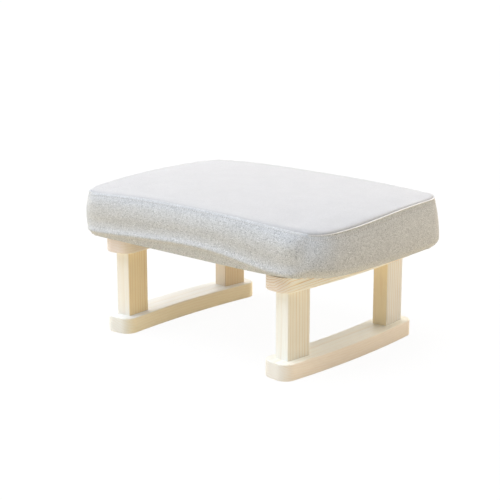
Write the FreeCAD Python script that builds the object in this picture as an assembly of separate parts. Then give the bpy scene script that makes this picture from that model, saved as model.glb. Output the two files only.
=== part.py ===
"""Low padded kneeling bench: an upholstered seat on two bowed pine trestles.

Frame: millimetres. X runs along the seat, Y across it and Z up. The origin is on
the floor under the middle of the seat. Left is -X, right is +X, front is -Y.
"""
import FreeCAD, Part
import math
import os

from FreeCAD import Vector

# ---------------------------------------------------------------- driving dimensions
# seat, seen from above
SEAT_LENGTH = 400.0
SEAT_DEPTH = 265.0
SEAT_CORNER_RADIUS = 48.0
SHORT_SIDE_BOW = 8.0  # how far the middle of a short side stands out past its ends
SEAT_CROWN_HEIGHT = 182.5  # top of the seat above the floor, at its middle
SEAT_SLOPE = 0.6  # degrees by which the top falls towards the front
CROWN_RADIUS_ALONG = 6000.0  # curve of the crown along the seat
CROWN_RADIUS_ACROSS = 3600.0  # curve of the crown across the seat
CROWN_REACH = 0.75  # the crown is made this many seat lengths and depths out from the middle
BAND_LEAN = 5.0  # how far the side band leans in between its widest level and the crown
BOTTOM_ROLL_RADIUS = 8.0  # rounding where the band turns under the seat

# seat layers
FABRIC = 1.2
FABRIC_CLEARANCE = 0.3
TUCK_WIDTH = 36.0  # fabric turned under the board, measured from the outside
SEAM_INSET = 6.5  # joint of top panel and band, measured from the outside
DUST_COVER = 0.6
DUST_COVER_INSET = 25.0
DUST_COVER_CORNER_RADIUS = 34.0
BOARD = 12.0
BOARD_INSET = 11.0  # the foam wraps round the board's edge
BOARD_CORNER_RADIUS = 54.0
BOARD_EDGE_RADIUS = 2.0

# trestles
TRESTLE_X = 134.6  # middle of a rail, at its middle, from the middle of the seat
RAIL_BOW_RADIUS = 1050.0
RAIL_LENGTH = 242.0
RAIL_WIDTH = 40.5
RAIL_END_RADIUS = 14.5
FOOT_RAIL = 20.0
TOP_RAIL = 18.0
RAIL_EASE = 1.5
POST_CLEAR_HEIGHT = 82.0
POST_THICKNESS = 20.0
POST_WIDTH = 35.0
POST_OFFSET = 89.8  # middle of a post, along the rail from the rail's middle
POST_EASE = 1.2

# joinery
DOWEL_DIAMETER = 8.0
DOWEL_SPACING = 20.0
DOWEL_IN_RAIL = 12.0
DOWEL_IN_POST = 16.0
DOWEL_CHAMFER = 0.8
SCREW_SHANK = 4.0
SCREW_HEAD = 8.0
SCREW_LENGTH = 45.0
SCREW_HEAD_CONE = 2.6
SCREW_POINT = 4.0
SCREW_RECESS = 5.0  # depth of the counterbore under a foot rail
SCREW_RECESS_DIAMETER = 9.6
SCREW_TIP = 0.3
SCREW_DRIVE = 4.4
SCREW_DRIVE_SLOT = 1.0
SCREW_DRIVE_DEPTH = 1.4

# seat bolts, M6
BOLT_OFFSET = 45.0  # along the rail from its middle
BOLT_DIAMETER = 6.0
BOLT_LENGTH = 25.0
BOLT_HEAD = 10.5
BOLT_HEAD_HEIGHT = 3.3
BOLT_HEAD_ROUNDING = 2.0
BOLT_SOCKET_FLATS = 4.0
BOLT_SOCKET_DEPTH = 2.0
BOLT_CLEARANCE_HOLE = 6.6
COUNTERBORE_DIAMETER = 14.0
COUNTERBORE_DEPTH = 6.0
WASHER_DIAMETER = 12.0
WASHER_HOLE = 6.4
WASHER = 1.5
TEE_NUT_FLANGE = 19.0
TEE_NUT_FLANGE_THICKNESS = 1.2
TEE_NUT_BARREL = 7.8
TEE_NUT_BARREL_LENGTH = 9.0
TEE_NUT_BORE = 6.1
TEE_NUT_HOLE = 8.0  # hole in the board for the barrel
TEE_NUT_POCKET = 20.0  # pocket in the foam over the flange
TEE_NUT_PRONGS = 4
PRONG_WIDTH = 3.0
PRONG_THICKNESS = 1.0
PRONG_LENGTH = 6.0
PRONG_INSET = 1.5  # from the flange's rim to the outside of a prong

# staples
STAPLE_CROWN = 10.0
STAPLE_WIRE = 0.6
STAPLE_WIRE_WIDTH = 1.1
STAPLE_LEG = 8.0
STAPLE_COUNT = 38
COVER_STAPLE_INSET = 22.0
DUST_STAPLE_INSET = 31.0

# ---------------------------------------------------------------- heights
POST_TOP = FOOT_RAIL + POST_CLEAR_HEIGHT
RAIL_TOP = POST_TOP + TOP_RAIL
COVER_BOTTOM = RAIL_TOP + DUST_COVER
BOARD_BOTTOM = COVER_BOTTOM + FABRIC
BOARD_TOP = BOARD_BOTTOM + BOARD
SIDES = {"left": -1, "right": 1}
ENDS = {"front": -1, "rear": 1}
WIDEST_LEVEL = COVER_BOTTOM + BOTTOM_ROLL_RADIUS
CAVITY_LEVEL = (BOARD_TOP + SEAT_CROWN_HEIGHT) / 2
CROWN_ALLOWANCE = 12.0  # stock above the crown before it is cut to shape
OVERLAP = 1.0  # cutters reach this far past the surface they cut
TOLERANCE = 0.01
UP = Vector(0, 0, 1)


# ---------------------------------------------------------------- small helpers
def save(shape, node):
    """Write one sub-part to its own STEP file."""
    os.makedirs("parts", exist_ok=True)
    shape.exportStep(os.path.join("parts", node + ".step"))


def cylinder(diameter, height, x, y, z):
    """Upright cylinder standing on z."""
    return Part.makeCylinder(diameter / 2, height, Vector(x, y, z), UP)


def solid_of(shape):
    """The only solid of a shape, or the shape itself when it has several."""
    return shape.Solids[0] if len(shape.Solids) == 1 else shape


def fuse(shapes):
    """One shape from several that touch."""
    return solid_of(shapes[0].multiFuse(shapes[1:]).removeSplitter())


# ---------------------------------------------------------------- seat outline
def seat_outline(inset, z, corner_radius=None):
    """Closed outline of the seat at height z, moved inwards by inset.

    Two straight long sides, two gently bowed short sides and four tangent corners.
    """
    half_length = SEAT_LENGTH / 2 - inset
    half_depth = SEAT_DEPTH / 2 - inset
    corner = SEAT_CORNER_RADIUS - inset if corner_radius is None else corner_radius
    full_half_depth = SEAT_DEPTH / 2
    bow_radius = (full_half_depth**2 + SHORT_SIDE_BOW**2) / (2 * SHORT_SIDE_BOW) - inset
    bow_centre_x = half_length - bow_radius
    corner_y = half_depth - corner
    corner_x = bow_centre_x + math.sqrt((bow_radius - corner) ** 2 - corner_y**2)
    bow_angle = math.asin(corner_y / (bow_radius - corner))
    middle_angle = (bow_angle + math.pi / 2) / 2

    def on_bow(angle):
        return (bow_centre_x + bow_radius * math.cos(angle), bow_radius * math.sin(angle))

    def on_corner(angle):
        return (corner_x + corner * math.cos(angle), corner_y + corner * math.sin(angle))

    def point(xy, flip_x=1, flip_y=1):
        return Vector(flip_x * xy[0], flip_y * xy[1], z)

    line_end = (corner_x, half_depth)
    edges = []
    for flip_x in (1, -1):
        low = point(on_bow(bow_angle), flip_x, -1)
        high = point(on_bow(bow_angle), flip_x, 1)
        edges.append(Part.Arc(low, point(on_bow(0), flip_x), high).toShape())
        for flip_y in (1, -1):
            start = point(on_corner(bow_angle), flip_x, flip_y)
            middle = point(on_corner(middle_angle), flip_x, flip_y)
            edges.append(Part.Arc(start, middle, point(line_end, flip_x, flip_y)).toShape())
    for flip_y in (1, -1):
        edges.append(Part.makeLine(point(line_end, 1, flip_y), point(line_end, -1, flip_y)))
    return Part.Wire(Part.__sortEdges__(edges))


def seat_prism(inset, bottom, top, corner_radius=None):
    """Upright block with the seat's outline."""
    face = Part.Face(seat_outline(inset, bottom, corner_radius))
    return face.extrude(Vector(0, 0, top - bottom))


def crown_solid(inset):
    """Block with the crown of the seat as its top, lowered by inset.

    An arc across the seat is swung along it about a distant axis, so the crown curves
    gently both ways.
    """
    top = SEAT_CROWN_HEIGHT - inset
    across = CROWN_RADIUS_ACROSS - inset
    reach = SEAT_DEPTH * CROWN_REACH
    shoulder = top - across + math.sqrt(across**2 - reach**2)
    low = top - SEAT_CROWN_HEIGHT
    left, right = Vector(0, -reach, shoulder), Vector(0, reach, shoulder)
    arc = Part.Arc(left, Vector(0, 0, top), right).toShape()
    sides = Part.makePolygon([right, Vector(0, reach, low), Vector(0, -reach, low), left])
    profile = Part.Face(Part.Wire([arc] + sides.Edges))
    swing = math.degrees(math.asin(SEAT_LENGTH * CROWN_REACH / CROWN_RADIUS_ALONG))
    axis_point = Vector(0, 0, SEAT_CROWN_HEIGHT - CROWN_RADIUS_ALONG)
    profile.rotate(axis_point, Vector(0, 1, 0), -swing)
    block = profile.revolve(axis_point, Vector(0, 1, 0), 2 * swing)
    block.rotate(Vector(0, 0, SEAT_CROWN_HEIGHT), Vector(1, 0, 0), SEAT_SLOPE)
    return block


def leaned_outline(inset, z):
    """Outline of the leaning side band at height z."""
    lean = BAND_LEAN * (z - WIDEST_LEVEL) / (SEAT_CROWN_HEIGHT - WIDEST_LEVEL)
    return seat_outline(inset + lean, z)


def cushion_form(inset, bottom, roll):
    """Whole cushion: leaning sides, crowned top and a rolled bottom edge."""
    top = SEAT_CROWN_HEIGHT + CROWN_ALLOWANCE
    block = Part.makeLoft([leaned_outline(inset, bottom), leaned_outline(inset, top)], True, True)
    if roll > 0:
        lowest = [e for e in block.Edges if abs(e.BoundBox.ZMax - bottom) < TOLERANCE]
        block = block.makeFillet(roll, lowest)
    return solid_of(block.common(crown_solid(inset)))


# ---------------------------------------------------------------- seat parts
def staple_row(inset, crown_bottom, keep_clear=None):
    """Staples round the underside, each a crown with two legs driven up into the board."""
    outline = seat_outline(inset, crown_bottom)
    points = outline.discretize(Number=STAPLE_COUNT + 1)[:-1]
    staples = []
    for index, point in enumerate(points):
        ahead = points[(index + 1) % len(points)]
        behind = points[index - 1]
        turn = math.degrees(math.atan2(ahead.y - behind.y, ahead.x - behind.x))
        crown = Part.makeBox(STAPLE_CROWN, STAPLE_WIRE_WIDTH, STAPLE_WIRE)
        pieces = [crown]
        for offset in (0, STAPLE_CROWN - STAPLE_WIRE):
            leg = Part.makeBox(STAPLE_WIRE, STAPLE_WIRE_WIDTH, STAPLE_LEG)
            leg.translate(Vector(offset, 0, 0))
            pieces.append(leg)
        staple = fuse(pieces)
        staple.translate(Vector(-STAPLE_CROWN / 2, -STAPLE_WIRE_WIDTH / 2, 0))
        staple.rotate(Vector(0, 0, 0), UP, turn)
        staple.translate(point)
        if keep_clear is None or keep_clear.distToShape(staple)[0] > STAPLE_WIRE:
            staples.append(staple)
    return staples


def board_blank():
    """Board before it is drilled, its lower edge eased."""
    board = seat_prism(BOARD_INSET, BOARD_BOTTOM, BOARD_TOP, BOARD_CORNER_RADIUS)
    lowest = [e for e in board.Edges if abs(e.BoundBox.ZMax - BOARD_BOTTOM) < TOLERANCE]
    return board.makeFillet(BOARD_EDGE_RADIUS, lowest)


def seat_board(tee_nuts, staples):
    """Plywood board with holes for the tee nuts and the slits of the staples."""
    drill = [cylinder(TEE_NUT_HOLE, BOARD, x, y, BOARD_BOTTOM) for x, y in bolt_points()]
    return solid_of(board_blank().cut(Part.Compound(drill + tee_nuts + staples)))


def foam_pad():
    """Foam over the board and round its edge, with pockets over the tee nuts' flanges."""
    inset = FABRIC + FABRIC_CLEARANCE
    foam = cushion_form(inset, BOARD_BOTTOM + FABRIC_CLEARANCE, BOTTOM_ROLL_RADIUS - inset)
    pocket_depth = TEE_NUT_FLANGE_THICKNESS + FABRIC_CLEARANCE
    pockets = [cylinder(TEE_NUT_POCKET, pocket_depth, x, y, BOARD_TOP) for x, y in bolt_points()]
    return solid_of(foam.cut(Part.Compound([board_blank()] + pockets)))


def cover_shell():
    """The fabric cover in one piece, open under the middle of the seat."""
    outside = cushion_form(0, COVER_BOTTOM, BOTTOM_ROLL_RADIUS)
    inside = cushion_form(FABRIC, BOARD_BOTTOM, BOTTOM_ROLL_RADIUS - FABRIC)
    opening = seat_prism(TUCK_WIDTH, COVER_BOTTOM - OVERLAP, BOARD_BOTTOM + OVERLAP)
    return outside.cut(inside).cut(opening)


def cover_panels(staples):
    """Top panel and side band of the cover, sewn together round the top edge."""
    shell = cover_shell()
    inner = seat_prism(SEAM_INSET, CAVITY_LEVEL, SEAT_CROWN_HEIGHT + CROWN_ALLOWANCE)
    top_panel = solid_of(shell.common(inner))
    side_band = solid_of(shell.cut(inner).cut(Part.Compound(staples)))
    return top_panel, side_band


def dust_cover(staples):
    """Thin sheet that closes the underside, clamped between the board and the rails."""
    sheet = seat_prism(DUST_COVER_INSET, RAIL_TOP, COVER_BOTTOM, DUST_COVER_CORNER_RADIUS)
    holes = [cylinder(BOLT_CLEARANCE_HOLE, DUST_COVER, x, y, RAIL_TOP) for x, y in bolt_points()]
    return solid_of(sheet.cut(Part.Compound(holes + staples)))


# ---------------------------------------------------------------- trestle geometry
def on_rail(along, side):
    """Point and turn of the bowed rail at a distance along it from its middle."""
    angle = along / RAIL_BOW_RADIUS
    x = TRESTLE_X - RAIL_BOW_RADIUS + RAIL_BOW_RADIUS * math.cos(angle)
    y = RAIL_BOW_RADIUS * math.sin(angle)
    return side * x, y, side * math.degrees(angle)


def rail_outline(side, z):
    """Closed outline of a rail: two concentric arcs joined by rounded ends."""
    outer = RAIL_BOW_RADIUS + RAIL_WIDTH / 2
    inner = RAIL_BOW_RADIUS - RAIL_WIDTH / 2
    centre_x = TRESTLE_X - RAIL_BOW_RADIUS
    end_angle = RAIL_LENGTH / 2 / RAIL_BOW_RADIUS
    round_outer = outer - RAIL_END_RADIUS
    round_inner = inner + RAIL_END_RADIUS

    def polar(reach, angle):
        return Vector(side * (centre_x + reach * math.cos(angle)), reach * math.sin(angle), z)

    def corner(reach, rim, flip):
        """Rounded corner between an arc of radius rim and the end of the rail."""
        turn = math.asin(RAIL_END_RADIUS / reach)
        angle = flip * (end_angle - turn)
        centre = polar(reach, angle)
        on_arc = polar(rim, angle)
        on_end = polar(math.sqrt(reach**2 - RAIL_END_RADIUS**2), flip * end_angle)
        middle = (on_arc + on_end) * 0.5 - centre
        middle = centre + middle * (RAIL_END_RADIUS / middle.Length)
        return on_arc, middle, on_end

    edges = []
    starts = {}
    for flip in (1, -1):
        ends = []
        for reach, rim in ((round_outer, outer), (round_inner, inner)):
            on_arc, middle, on_end = corner(reach, rim, flip)
            edges.append(Part.Arc(on_arc, middle, on_end).toShape())
            starts[(rim, flip)] = on_arc
            ends.append(on_end)
        edges.append(Part.makeLine(*ends))
    for rim in (outer, inner):
        edges.append(Part.Arc(starts[(rim, -1)], polar(rim, 0), starts[(rim, 1)]).toShape())
    return Part.Wire(Part.__sortEdges__(edges))


def rail_blank(side, bottom, thickness):
    """Bowed rail with eased edges."""
    rail = Part.Face(rail_outline(side, bottom)).extrude(Vector(0, 0, thickness))
    flat_edges = [e for e in rail.Edges if e.BoundBox.ZLength < TOLERANCE]
    return rail.makeFillet(RAIL_EASE, flat_edges)


def dowel_points(side, end):
    """Centres of the two dowels of one post joint."""
    x, y, turn = on_rail(end * POST_OFFSET, side)
    across = DOWEL_SPACING / 2 * math.sin(math.radians(turn))
    along = DOWEL_SPACING / 2 * math.cos(math.radians(turn))
    return [(x - sign * across, y + sign * along) for sign in (-1, 1)]


def bolt_points(side=None):
    """Centres of the seat bolts, of one trestle or of both."""
    chosen = SIDES.values() if side is None else [side]
    return [on_rail(end * BOLT_OFFSET, one)[:2] for one in chosen for end in ENDS.values()]


# ---------------------------------------------------------------- fasteners
def screw_blank(x, y, z, direction):
    """Countersunk wood screw before its drive is cut, head face at z, pointing up (1) or down (-1)."""
    shank_length = SCREW_LENGTH - SCREW_HEAD_CONE - SCREW_POINT
    axis = Vector(0, 0, direction)

    def at(distance):
        return Vector(x, y, z + direction * distance)

    head = Part.makeCone(SCREW_HEAD / 2, SCREW_SHANK / 2, SCREW_HEAD_CONE, at(0), axis)
    shank = Part.makeCylinder(SCREW_SHANK / 2, shank_length, at(SCREW_HEAD_CONE), axis)
    tip = Part.makeCone(SCREW_SHANK / 2, SCREW_TIP, SCREW_POINT, at(SCREW_HEAD_CONE + shank_length), axis)
    return fuse([head, shank, tip])


def wood_screw(x, y, z, direction):
    """Countersunk wood screw with a cross drive."""
    screw = screw_blank(x, y, z, direction)
    low = min(z, z + direction * SCREW_DRIVE_DEPTH)
    for turn in (0, 90):
        slot = Part.makeBox(SCREW_DRIVE, SCREW_DRIVE_SLOT, SCREW_DRIVE_DEPTH)
        slot.translate(Vector(-SCREW_DRIVE / 2, -SCREW_DRIVE_SLOT / 2, low))
        slot.rotate(Vector(0, 0, 0), UP, turn)
        slot.translate(Vector(x, y, 0))
        screw = screw.cut(slot)
    return solid_of(screw)


def wood_dowel(x, y, joint_z, up_length, down_length):
    """Grooveless round dowel across a joint plane, with chamfered ends."""
    dowel = cylinder(DOWEL_DIAMETER, up_length + down_length, x, y, joint_z - down_length)
    rims = [e for e in dowel.Edges if e.BoundBox.ZLength < TOLERANCE]
    return dowel.makeChamfer(DOWEL_CHAMFER, rims)


def seat_bolt(x, y):
    """Button-head socket bolt that holds a rail to the board from below."""
    washer_bottom = POST_TOP + COUNTERBORE_DEPTH - WASHER
    head_bottom = washer_bottom - BOLT_HEAD_HEIGHT
    head = cylinder(BOLT_HEAD, BOLT_HEAD_HEIGHT, x, y, head_bottom)
    rim = [e for e in head.Edges if abs(e.BoundBox.ZMax - head_bottom) < TOLERANCE]
    head = head.makeFillet(BOLT_HEAD_ROUNDING, rim)
    shank = cylinder(BOLT_DIAMETER, BOLT_LENGTH, x, y, washer_bottom)
    corners = []
    reach = BOLT_SOCKET_FLATS / math.sqrt(3)
    for index in range(7):
        angle = math.radians(60 * index)
        corner_x = x + reach * math.cos(angle)
        corner_y = y + reach * math.sin(angle)
        corners.append(Vector(corner_x, corner_y, head_bottom))
    socket = Part.Face(Part.makePolygon(corners)).extrude(Vector(0, 0, BOLT_SOCKET_DEPTH))
    return solid_of(fuse([head, shank]).cut(socket))


def washer(x, y):
    """Flat washer in a rail's counterbore."""
    bottom = POST_TOP + COUNTERBORE_DEPTH - WASHER
    return cylinder(WASHER_DIAMETER, WASHER, x, y, bottom).cut(cylinder(WASHER_HOLE, WASHER, x, y, bottom))


def tee_nut(x, y):
    """Pronged tee nut pressed into the board from above."""
    flange = cylinder(TEE_NUT_FLANGE, TEE_NUT_FLANGE_THICKNESS, x, y, BOARD_TOP)
    barrel = cylinder(TEE_NUT_BARREL, TEE_NUT_BARREL_LENGTH, x, y, BOARD_TOP - TEE_NUT_BARREL_LENGTH)
    pieces = [flange, barrel]
    for index in range(TEE_NUT_PRONGS):
        prong = Part.makeBox(PRONG_THICKNESS, PRONG_WIDTH, PRONG_LENGTH)
        prong.translate(Vector(TEE_NUT_FLANGE / 2 - PRONG_INSET, -PRONG_WIDTH / 2, 0))
        prong.rotate(Vector(0, 0, 0), UP, 45 + 360 * index / TEE_NUT_PRONGS)
        prong.translate(Vector(x, y, BOARD_TOP - PRONG_LENGTH))
        pieces.append(prong)
    bore_bottom = BOARD_TOP - TEE_NUT_BARREL_LENGTH
    bore = cylinder(TEE_NUT_BORE, TEE_NUT_BARREL_LENGTH + TEE_NUT_FLANGE_THICKNESS, x, y, bore_bottom)
    return solid_of(fuse(pieces).cut(bore))


# ---------------------------------------------------------------- trestle parts
def trestle(side):
    """All parts of one trestle, by name."""
    foot = rail_blank(side, 0, FOOT_RAIL)
    top = rail_blank(side, POST_TOP, TOP_RAIL)
    posts = {}
    dowels = []
    foot_screws = []
    top_screws = []
    for end_name, end in ENDS.items():
        x, y, turn = on_rail(end * POST_OFFSET, side)
        post = Part.makeBox(POST_THICKNESS, POST_WIDTH, POST_CLEAR_HEIGHT)
        uprights = [e for e in post.Edges if e.BoundBox.ZLength > POST_CLEAR_HEIGHT - TOLERANCE]
        post = post.makeFillet(POST_EASE, uprights)
        post.translate(Vector(-POST_THICKNESS / 2, -POST_WIDTH / 2, FOOT_RAIL))
        post.rotate(Vector(0, 0, 0), UP, turn)
        post.translate(Vector(x, y, 0))
        joint_dowels = []
        for dowel_x, dowel_y in dowel_points(side, end):
            joint_dowels.append(wood_dowel(dowel_x, dowel_y, FOOT_RAIL, DOWEL_IN_POST, DOWEL_IN_RAIL))
            joint_dowels.append(wood_dowel(dowel_x, dowel_y, POST_TOP, DOWEL_IN_RAIL, DOWEL_IN_POST))
        recess = cylinder(SCREW_RECESS_DIAMETER, SCREW_RECESS, x, y, 0)
        foot = foot.cut(recess)
        screw_holes = [screw_blank(x, y, SCREW_RECESS, 1), screw_blank(x, y, RAIL_TOP, -1)]
        inside = Part.Compound(joint_dowels + screw_holes)
        foot = foot.cut(inside)
        top = top.cut(inside)
        posts[end_name] = solid_of(post.cut(inside))
        dowels += joint_dowels
        foot_screws.append(wood_screw(x, y, SCREW_RECESS, 1))
        top_screws.append(wood_screw(x, y, RAIL_TOP, -1))
    for x, y in bolt_points(side):
        top = top.cut(cylinder(BOLT_CLEARANCE_HOLE, TOP_RAIL, x, y, POST_TOP))
        top = top.cut(cylinder(COUNTERBORE_DIAMETER, COUNTERBORE_DEPTH, x, y, POST_TOP))
    return {
        "foot_rail": solid_of(foot),
        "top_rail": solid_of(top),
        "front_post": posts["front"],
        "rear_post": posts["rear"],
        "post_dowels": Part.Compound(dowels),
        "foot_screws": Part.Compound(foot_screws),
        "top_rail_screws": Part.Compound(top_screws),
        "seat_bolts": Part.Compound([seat_bolt(x, y) for x, y in bolt_points(side)]),
        "bolt_washers": Part.Compound([washer(x, y) for x, y in bolt_points(side)]),
        "tee_nuts": Part.Compound([tee_nut(x, y) for x, y in bolt_points(side)]),
    }


# ---------------------------------------------------------------- build
def main():
    rails_above = []
    tee_nuts = []
    for name, side in SIDES.items():
        parts = trestle(side)
        rails_above.append(parts["top_rail"])
        tee_nuts.append(parts["tee_nuts"])
        for part_name, shape in parts.items():
            save(shape, name + "_" + part_name)
    cover_staples = staple_row(COVER_STAPLE_INSET, COVER_BOTTOM)
    dust_staples = staple_row(DUST_STAPLE_INSET, RAIL_TOP - STAPLE_WIRE, Part.Compound(rails_above))
    top_panel, side_band = cover_panels(cover_staples + dust_staples)
    save(seat_board(tee_nuts, cover_staples + dust_staples), "seat_board")
    save(foam_pad(), "foam_pad")
    save(top_panel, "cover_top_panel")
    save(side_band, "cover_side_band")
    save(dust_cover(dust_staples), "dust_cover")
    save(Part.Compound(cover_staples), "cover_staples")
    save(Part.Compound(dust_staples), "dust_cover_staples")


main()
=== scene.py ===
import math

import bpy
import numpy as np
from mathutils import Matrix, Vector
from mathutils.bvhtree import BVHTree
from mathutils.interpolate import poly_3d_calc


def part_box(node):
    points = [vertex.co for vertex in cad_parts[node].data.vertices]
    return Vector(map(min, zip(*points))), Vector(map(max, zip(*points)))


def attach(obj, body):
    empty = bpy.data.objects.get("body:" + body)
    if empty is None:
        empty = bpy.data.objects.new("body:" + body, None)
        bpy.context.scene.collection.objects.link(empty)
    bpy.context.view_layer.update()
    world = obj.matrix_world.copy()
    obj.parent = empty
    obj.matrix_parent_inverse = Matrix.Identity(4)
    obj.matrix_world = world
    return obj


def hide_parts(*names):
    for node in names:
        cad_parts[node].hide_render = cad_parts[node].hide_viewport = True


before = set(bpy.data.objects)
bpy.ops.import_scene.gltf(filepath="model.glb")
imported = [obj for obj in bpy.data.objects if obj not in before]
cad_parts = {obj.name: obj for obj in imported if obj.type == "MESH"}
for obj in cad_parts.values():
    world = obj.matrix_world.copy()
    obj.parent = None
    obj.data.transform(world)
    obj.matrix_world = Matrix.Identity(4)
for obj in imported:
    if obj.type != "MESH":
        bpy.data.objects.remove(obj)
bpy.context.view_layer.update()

MM = 0.001

# ---- places from the frame
BAND_LOW, BAND_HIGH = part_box("cover_side_band")
BOARD_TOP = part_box("seat_board")[1][2]
DUST_LOW, DUST_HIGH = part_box("dust_cover")
HALF_LENGTH = BAND_HIGH[0]
HALF_DEPTH = BAND_HIGH[1]
SEAT_BOTTOM = BAND_LOW[2]

# ---- seat shape
CORNER_RADIUS = 48 * MM
SHORT_SIDE_BOW = 8 * MM

# the sewn edge lies on one gentle surface; u and v below run from -1 to 1 over the seat
EDGE_MIDDLE = 181.4 * MM
EDGE_RISE = 2.24 * MM  # half the rise from front to rear
EDGE_FALL = 0.28 * MM  # half the fall from left to right, in the middle
EDGE_FALL_REAR = -0.38 * MM  # and how much more it is at the rear
CROWN_ACROSS = 0.94 * MM
CROWN_ALONG = 1.57 * MM
CROWN_ALONG_FRONT = 3.53 * MM
CROWN_ALONG_EDGES = 1.81 * MM
REAR_DOME = 2.1 * MM  # the rear edge rises in the middle by this much more
REAR_DOME_REACH = 0.75
LEFT_FALL = 5.0 * MM  # the left end falls by this much at the rear
LEFT_FALL_POWER = 4.4
CORNER_SPREAD = 50 * MM  # how far the rise or dip of a corner spreads
CORNER_MIDDLE = (178 * MM, 118.5 * MM)
SHOULDER_HEIGHT = 1.6 * MM  # the top panel rolls up from its seam by this much
SHOULDER_WIDTH = 9.0 * MM

# the band: how far the seam stands in, and the level and shape of its widest place
SEAM_INSET_SHORT = 7.1 * MM
SEAM_INSET_LONG = 12.8 * MM
LONG_SHOULDER = 17 * MM  # depth of the rounded shoulder along the long sides
BAND_BULGE_POWER = 1.9
WIDEST_SHORT = 11 * MM  # above the seat's bottom
BOTTOM_INSET_LONG = 5.0 * MM
BOTTOM_INSET_LEFT = 6.0 * MM
BOTTOM_INSET_RIGHT = 9.5 * MM
TURN_POWER_SHORT = 1.9
TURN_POWER_LONG = 1.15
TUCK_INSET = 36 * MM
TUCK_WIDTH = 12 * MM
TUCK_LIFT = 0.15 * MM  # the staples' backs stand proud of the cloth by this much
FABRIC = 1.2 * MM
DUST_CLOTH = 0.4 * MM
DUST_SAG = 1.6 * MM
DUST_ROUNDING = 0.055  # how much shorter each side is at its ends
TOP_TURNED = 1.5 * MM  # how far each panel's edge goes down into the seam
BAND_TURNED = 1.2 * MM
CORE_INSIDE = 2.6 * MM  # the foam's surface lies this far inside the cover's
BOARD_INSET = 11 * MM
BOARD_CORNER_INSET = 7.0 * MM  # the board's corners are rounder than the seat's

# what differs at each corner, named by the signs of its X and Y: the first item is the top's rise,
# the next three are extra insets, then come the widest place's height, the turn and the seam's dip
TOP_RISE, SEAM_IN, BOTTOM_IN, BAND_IN, WIDEST_UP, TIGHTER_TURN, SEAM_DOWN = range(7)
CORNERS = {
    (-1, -1): (-1.7 * MM, -2.5 * MM, -0.7 * MM, 1.2 * MM, 16.5 * MM, 1.3, 0.5 * MM),
    (1, -1): (-2.1 * MM, 12.0 * MM, 15.0 * MM, 0.0, 5 * MM, 0.6, 2.2 * MM),
    (1, 1): (-1.5 * MM, 0.5 * MM, -2.0 * MM, 0.0, -1 * MM, 0.0, 0.8 * MM),
    (-1, 1): (0.0, 1.5 * MM, 0.0, 0.5 * MM, 6 * MM, 0.8, 0.5 * MM),
}
DRAWN_WIDTH = 12 * MM
RIGHT_SAG = 2.0 * MM  # the right side's seam dips by this much, nearest the front
RIGHT_SAG_MIDDLE = -0.35
RIGHT_SAG_REACH = 0.45

# rolled lower edge of the two long sides, an arch that is highest right of the middle
ROLL_LOW = 6.5 * MM
ROLL_RISE = 11.8 * MM
ROLL_PEAK_X = 28 * MM
ROLL_REACH = {-1: 230 * MM, 1: 140 * MM}
ROLL_STAND = 3.1 * MM
ROLL_HALF_WIDTH = 2.8 * MM
ROLL_HOLLOW = 1.6 * MM  # depth of the hollow above the roll
HOLLOW_RISE = 11 * MM
HOLLOW_HALF_WIDTH = 7 * MM
PLEAT_DEPTH = 0.5 * MM
PLEAT_RISE = 5 * MM  # the pleats fade out this far above the seat's bottom
PLEAT_WAVES = 26  # for each radian of the corner's turn

# mesh
LONG_STEPS = 132
SHORT_STEPS = 84
RING_INSETS = np.array([13.4, 10.6, 8.2, 6.2, 4.6, 3.2, 2, 1, 0.4, 0]) * MM  # inside the seam
COARSE_RINGS = 5  # how many of them, from the innermost, the simulation starts from
BAND_STEPS = 36
TUCK_STEPS = 5
BAND_SAMPLES = 70  # points of a section before it is cut into steps
TURN_SAMPLES = 40
DUST_STEPS = (96, 64)

# seam section: millimetres from the seam down the band, millimetres proud of the surface
TOP_EDGE = [(-2, 0), (-1, -0.3), (-0.4, -1.0), (0, -1.6)]
BAND_EDGE = [
    (0, -1.6), (0.15, -0.5), (0.35, 0.4), (0.6, 0.9), (0.9, 1.1), (1.2, 0.9), (1.5, 0.4), (2.0, 0.1),
    (3.6, 0.1), (5, 0.05), (5.8, -0.05), (6.2, -0.15), (6.6, -0.05), (7.4, 0), (9, 0), (11.5, 0),
]
EDGE_SHARE_LONG = 0.84  # the seam is this much shallower along the long sides
STITCH_LINE = 6.2 * MM
STITCH_PITCH = 3.3 * MM
STITCH_LENGTH = 2.5 * MM
THREAD_RADIUS = 0.32 * MM
THREAD_SIDES = 6
# sections of one stitch: place in its length, lift in thread radii, thickness
STITCH_SECTIONS = [(-0.5, -0.9, 0.45), (-0.38, 0, 0.9), (0, 0.35, 1), (0.38, 0, 0.9), (0.5, -0.9, 0.45)]
STITCH_LIFT = 0.12 * MM


# ---- seat outline
def outline_lengths():
    """Radii, centres and arc lengths of a quarter of the outline: side bow, corner, long side."""
    bow = (HALF_DEPTH**2 + SHORT_SIDE_BOW**2) / (2 * SHORT_SIDE_BOW)
    bow_x = HALF_LENGTH - bow
    corner_y = HALF_DEPTH - CORNER_RADIUS
    bow_angle = math.asin(corner_y / (bow - CORNER_RADIUS))
    corner_x = bow_x + (bow - CORNER_RADIUS) * math.cos(bow_angle)
    lengths = (bow * bow_angle, CORNER_RADIUS * (math.pi / 2 - bow_angle), corner_x)
    return bow, bow_x, bow_angle, (corner_x, corner_y), lengths


def girth():
    """Length of the whole outline."""
    return 4 * sum(outline_lengths()[4])


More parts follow.
